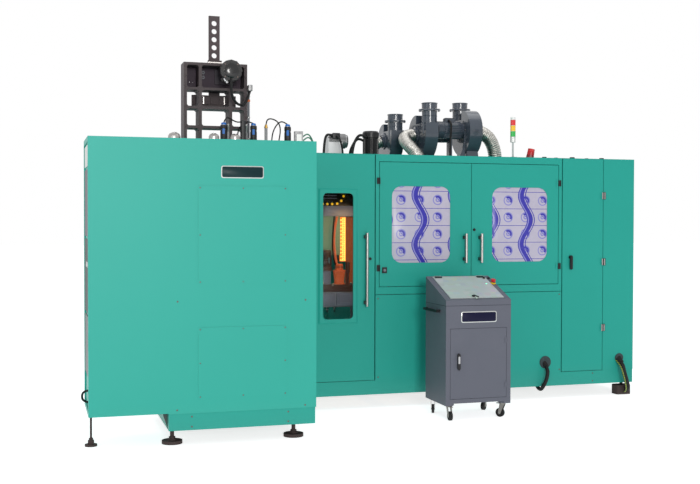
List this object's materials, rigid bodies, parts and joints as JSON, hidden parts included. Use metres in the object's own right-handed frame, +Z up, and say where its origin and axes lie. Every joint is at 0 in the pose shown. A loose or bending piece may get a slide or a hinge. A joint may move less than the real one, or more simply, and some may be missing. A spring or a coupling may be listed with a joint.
{
  "type": "blow moulding machine",
  "caption": "Linear stretch blow moulding machine: long panelled enclosure with windowed doors, stretch tower, roof blowers and a wheeled operator console.",
  "frame": {"origin": "on the floor under the middle of the machine", "axes": "+X to the right seen from the front, +Y to the back, +Z up"},
  "size_m": [5.0421, 2.603, 3.359],
  "materials": {
    "teal_paint": "satin",
    "dark_frame": "satin",
    "dark_foot": "matt",
    "tower_grey": "satin",
    "bright_steel": "brushed",
    "black_motor": "satin",
    "black_sheath": "matt",
    "blower_grey": "satin",
    "foil_duct": "crinkled",
    "lens": "glossy",
    "black_metal": "satin",
    "grey_steel": "satin",
    "window": "clear",
    "film_pane": "printed film",
    "console_grey": "satin",
    "lid_plastic": "glossy",
    "black_plastic": "matt",
    "red_plastic": "glossy",
    "wheel_rubber": "matt"
  },
  "bodies": {
    "machine": {"base_frame": "dark_frame", "body_frame": "teal_paint", "body_roof": "teal_paint", "body_panels": "teal_paint", "skirt_plates": "teal_paint", "lower_cover_panel": "teal_paint", "end_front_panel": "teal_paint", "cabinet_shell": "teal_paint", "side_extension": "teal_paint", "access_panels": "teal_paint", "machine_feet": "dark_foot", "tower_frame": "tower_grey", "tower_guides": "bright_steel", "servo_motor": "black_motor", "servo_cable": "black_sheath", "air_receivers": "bright_steel", "air_valves": "bright_steel", "roof_motors": "black_motor", "blower_housing_left": "blower_grey", "blower_housing_middle": "blower_grey", "blower_housing_right": "blower_grey", "blower_motors": "blower_grey", "blower_duct_left": "foil_duct", "blower_duct_middle": "foil_duct", "blower_duct_right": "foil_duct", "signal_tower": "bright_steel", "signal_lenses": "lens", "door_hinges": "black_metal", "console_lead": "black_sheath", "supply_leads": "black_sheath", "side_cable_loop": "black_sheath", "preform_conveyor": "grey_steel", "lamp_banks": "grey_steel", "console_cabinet": "console_grey", "console_deck": "console_grey"},
    "narrow_door_leaf": {"narrow_door": "teal_paint", "narrow_window": "window", "long_handle": "bright_steel"},
    "left_door_leaf": {"left_oven_door": "teal_paint", "left_window": "film_pane", "left_handle": "bright_steel"},
    "right_door_leaf": {"right_oven_door": "teal_paint", "right_window": "film_pane", "right_handle": "bright_steel"},
    "electrical_door_leaf": {"electrical_door": "teal_paint"},
    "lever": {"door_lever": "black_metal"},
    "carriage": {"stretch_carriage": "tower_grey"},
    "lid": {"console_lid": "lid_plastic"},
    "console_door_leaf": {"console_door": "console_grey"},
    "swing_handle": {"console_door_handle": "black_plastic"},
    "stop_button": {"estop_button": "red_plastic"},
    "fork_1": {"caster_fork_1": "bright_steel"},
    "wheel_1": {"caster_wheel_1": "wheel_rubber"},
    "fork_2": {"caster_fork_2": "bright_steel"},
    "wheel_2": {"caster_wheel_2": "wheel_rubber"},
    "fork_3": {"caster_fork_3": "bright_steel"},
    "wheel_3": {"caster_wheel_3": "wheel_rubber"},
    "fork_4": {"caster_fork_4": "bright_steel"},
    "wheel_4": {"caster_wheel_4": "wheel_rubber"}
  },
  "joints": [
    {"name": "narrow_door_hinge", "type": "hinge", "parent": "machine", "child": "narrow_door_leaf", "pos_m": [-0.8405, -0.212, 1.2], "axis": [0, 0, -1], "range_deg": [0, 85]},
    {"name": "left_oven_door_hinge", "type": "hinge", "parent": "machine", "child": "left_door_leaf", "pos_m": [-0.0021, -0.212, 1.585], "axis": [0, 0, 1], "range_deg": [-19, 0]},
    {"name": "right_oven_door_hinge", "type": "hinge", "parent": "machine", "child": "right_door_leaf", "pos_m": [1.7171, -0.212, 1.585], "axis": [0, 0, 1], "range_deg": [0, 105]},
    {"name": "electrical_door_hinge", "type": "hinge", "parent": "machine", "child": "electrical_door_leaf", "pos_m": [2.1775, -0.212, 1.2], "axis": [0, 0, 1], "range_deg": [0, 110]},
    {"name": "door_lever_turn", "type": "hinge", "parent": "electrical_door_leaf", "child": "lever", "pos_m": [1.84, -0.22, 1.286], "axis": [0, 1, 0], "range_deg": [-90, 0]},
    {"name": "stretch_slide", "type": "slide", "parent": "machine", "child": "carriage", "axis": [0, 0, 1], "range_m": [-0.3, 0]},
    {"name": "console_lid_hinge", "type": "hinge", "parent": "machine", "child": "lid", "pos_m": [0.598, -0.53305, 1.14539], "axis": [-1, 0, 0], "range_deg": [0, 100]},
    {"name": "console_door_hinge", "type": "hinge", "parent": "machine", "child": "console_door_leaf", "pos_m": [0.84575, -0.9635, 0.46], "axis": [0, 0, 1], "range_deg": [0, 110]},
    {"name": "console_handle_turn", "type": "hinge", "parent": "console_door_leaf", "child": "swing_handle", "pos_m": [0.42, -0.97, 0.535], "axis": [0, 1, 0], "range_deg": [-90, 0]},
    {"name": "stop_press", "type": "slide", "parent": "machine", "child": "stop_button", "axis": [0, 0.3563, -0.9344], "range_m": [0, 0.004], "stiffness_N_per_m": 900, "springref_m": -0.002},
    {"name": "caster_swivel_1", "type": "hinge", "parent": "machine", "child": "fork_1", "pos_m": [0.36, -0.912, 0.11], "axis": [0, 0, 1], "continuous": true},
    {"name": "caster_spin_1", "type": "hinge", "parent": "fork_1", "child": "wheel_1", "pos_m": [0.36, -0.934, 0.037], "axis": [-1, 0, 0], "continuous": true},
    {"name": "caster_swivel_2", "type": "hinge", "parent": "machine", "child": "fork_2", "pos_m": [0.836, -0.912, 0.11], "axis": [0, 0, 1], "continuous": true},
    {"name": "caster_spin_2", "type": "hinge", "parent": "fork_2", "child": "wheel_2", "pos_m": [0.82186, -0.89515, 0.037], "axis": [0.766, 0.6428, 0], "continuous": true},
    {"name": "caster_swivel_3", "type": "hinge", "parent": "machine", "child": "fork_3", "pos_m": [0.36, -0.557, 0.11], "axis": [0, 0, 1], "continuous": true},
    {"name": "caster_spin_3", "type": "hinge", "parent": "fork_3", "child": "wheel_3", "pos_m": [0.35248, -0.57767, 0.037], "axis": [-0.9397, 0.342, 0], "continuous": true},
    {"name": "caster_swivel_4", "type": "hinge", "parent": "machine", "child": "fork_4", "pos_m": [0.836, -0.557, 0.11], "axis": [0, 0, 1], "continuous": true},
    {"name": "caster_spin_4", "type": "hinge", "parent": "fork_4", "child": "wheel_4", "pos_m": [0.81915, -0.57114, 0.037], "axis": [-0.6428, 0.766, 0], "continuous": true}
  ]
}
